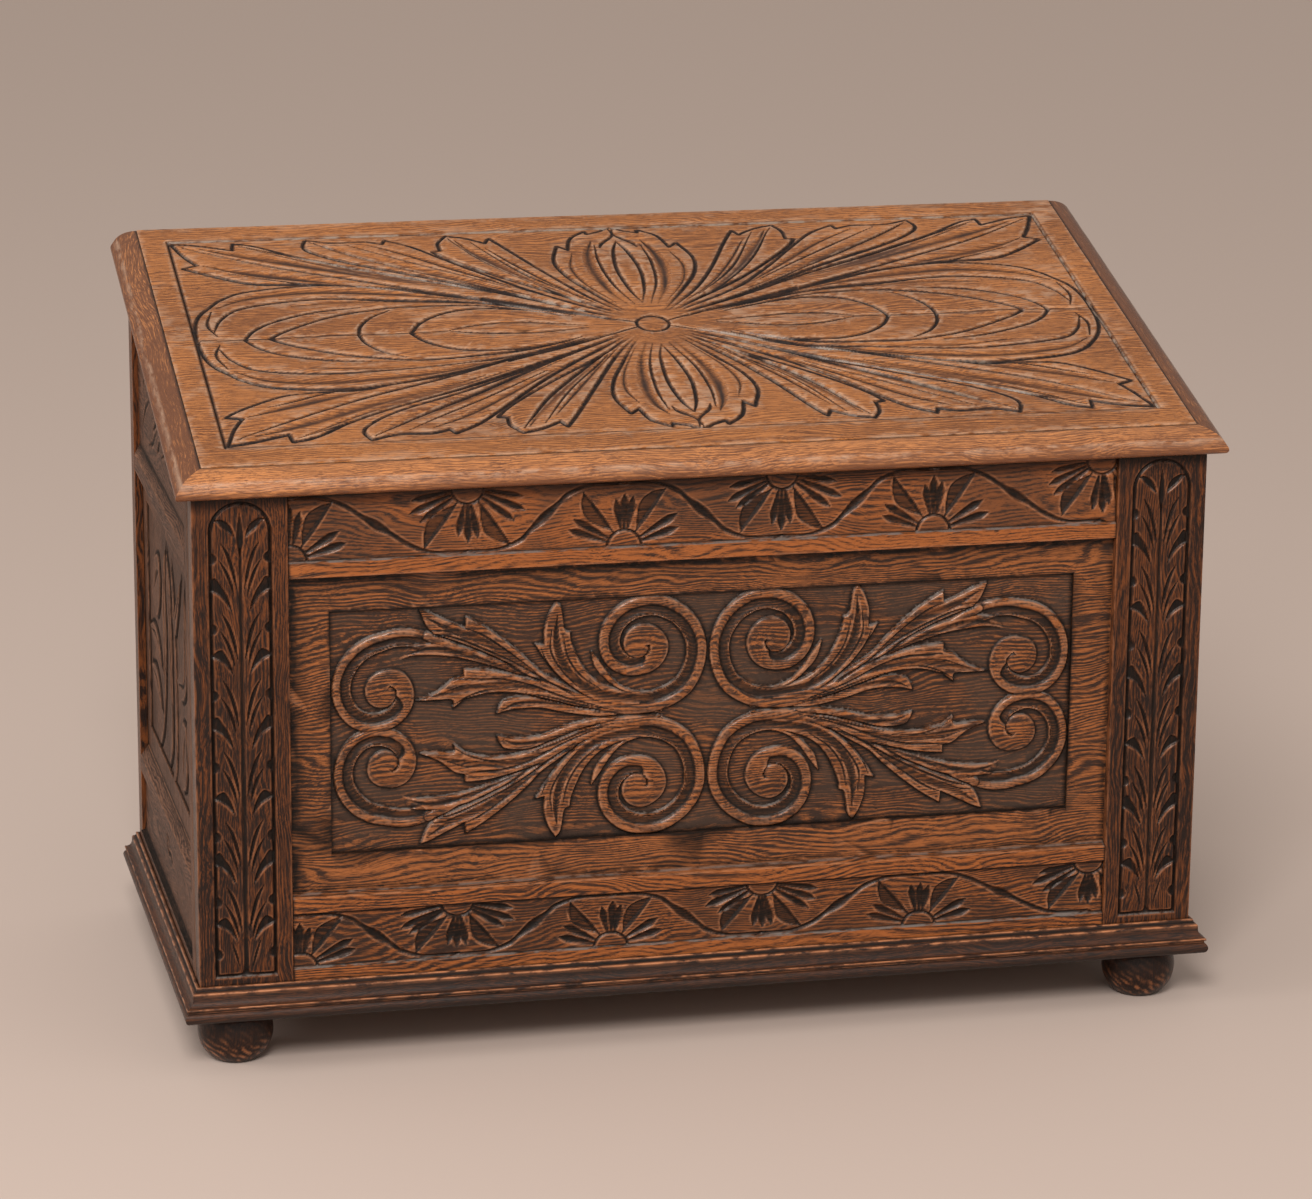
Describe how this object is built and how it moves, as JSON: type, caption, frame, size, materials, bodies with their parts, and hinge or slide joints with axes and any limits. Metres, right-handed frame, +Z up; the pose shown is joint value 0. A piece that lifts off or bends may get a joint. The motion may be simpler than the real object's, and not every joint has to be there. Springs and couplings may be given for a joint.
{
  "type": "hope chest",
  "caption": "Oak hope chest with a sloping carved lid on butt hinges, framed and panelled sides, a moulded plinth and turned bun feet.",
  "frame": {"origin": "the middle of the footprint, on the floor that the feet stand on", "axes": "+Z up, the front faces -Y, +X to the viewer's right as they face the front"},
  "size_m": [0.95, 0.4804, 0.6751],
  "materials": {
    "lid_oak": "golden oak, waxed and polished",
    "frame_oak": "dark fumed oak, worn lighter on the arrises",
    "panel_oak": "dark fumed oak with open grain",
    "plinth_oak": "dark fumed oak, waxed",
    "foot_oak": "turned dark oak, waxed",
    "inner_oak": "plain unstained oak",
    "hinge_brass": "dull aged brass",
    "hinge_steel": "dull steel"
  },
  "bodies": {
    "carcass": {"front_left_stile": "frame_oak", "front_right_stile": "frame_oak", "rear_left_stile": "frame_oak", "rear_right_stile": "frame_oak", "left_side_stile": "frame_oak", "right_side_stile": "frame_oak", "front_top_rail": "frame_oak", "front_bottom_rail": "frame_oak", "front_panel": "panel_oak", "left_top_rail": "frame_oak", "left_bottom_rail": "frame_oak", "left_panel": "panel_oak", "right_top_rail": "frame_oak", "right_bottom_rail": "frame_oak", "right_panel": "panel_oak", "rear_top_rail": "frame_oak", "rear_bottom_rail": "frame_oak", "rear_muntin": "frame_oak", "rear_left_panel": "panel_oak", "rear_right_panel": "panel_oak", "bottom_board_front": "inner_oak", "bottom_board_middle": "inner_oak", "bottom_board_rear": "inner_oak", "front_ledger": "inner_oak", "rear_ledger": "inner_oak", "left_ledger": "inner_oak", "right_ledger": "inner_oak", "front_left_block": "inner_oak", "front_right_block": "inner_oak", "rear_left_block": "inner_oak", "rear_right_block": "inner_oak", "plinth_front": "plinth_oak", "plinth_rear": "plinth_oak", "plinth_left": "plinth_oak", "plinth_right": "plinth_oak", "front_left_foot": "foot_oak", "front_right_foot": "foot_oak", "rear_left_foot": "foot_oak", "rear_right_foot": "foot_oak", "left_hinge_frame_leaf": "hinge_brass", "left_hinge_pin": "hinge_steel", "right_hinge_frame_leaf": "hinge_brass", "right_hinge_pin": "hinge_steel", "frame_leaf_screws": "hinge_steel"},
    "lid": {"lid_board": "lid_oak", "lid_front_moulding": "lid_oak", "lid_left_moulding": "lid_oak", "lid_right_moulding": "lid_oak", "lid_left_batten": "inner_oak", "lid_right_batten": "inner_oak", "batten_screws": "hinge_steel", "left_hinge_lid_leaf": "hinge_brass", "right_hinge_lid_leaf": "hinge_brass", "lid_leaf_screws": "hinge_steel"}
  },
  "joints": [
    {"name": "lid_hinge", "type": "hinge", "parent": "carcass", "child": "lid", "pos_m": [0, 0.23368, 0.65367], "axis": [-1, 0, 0], "range_deg": [0, 105]}
  ]
}
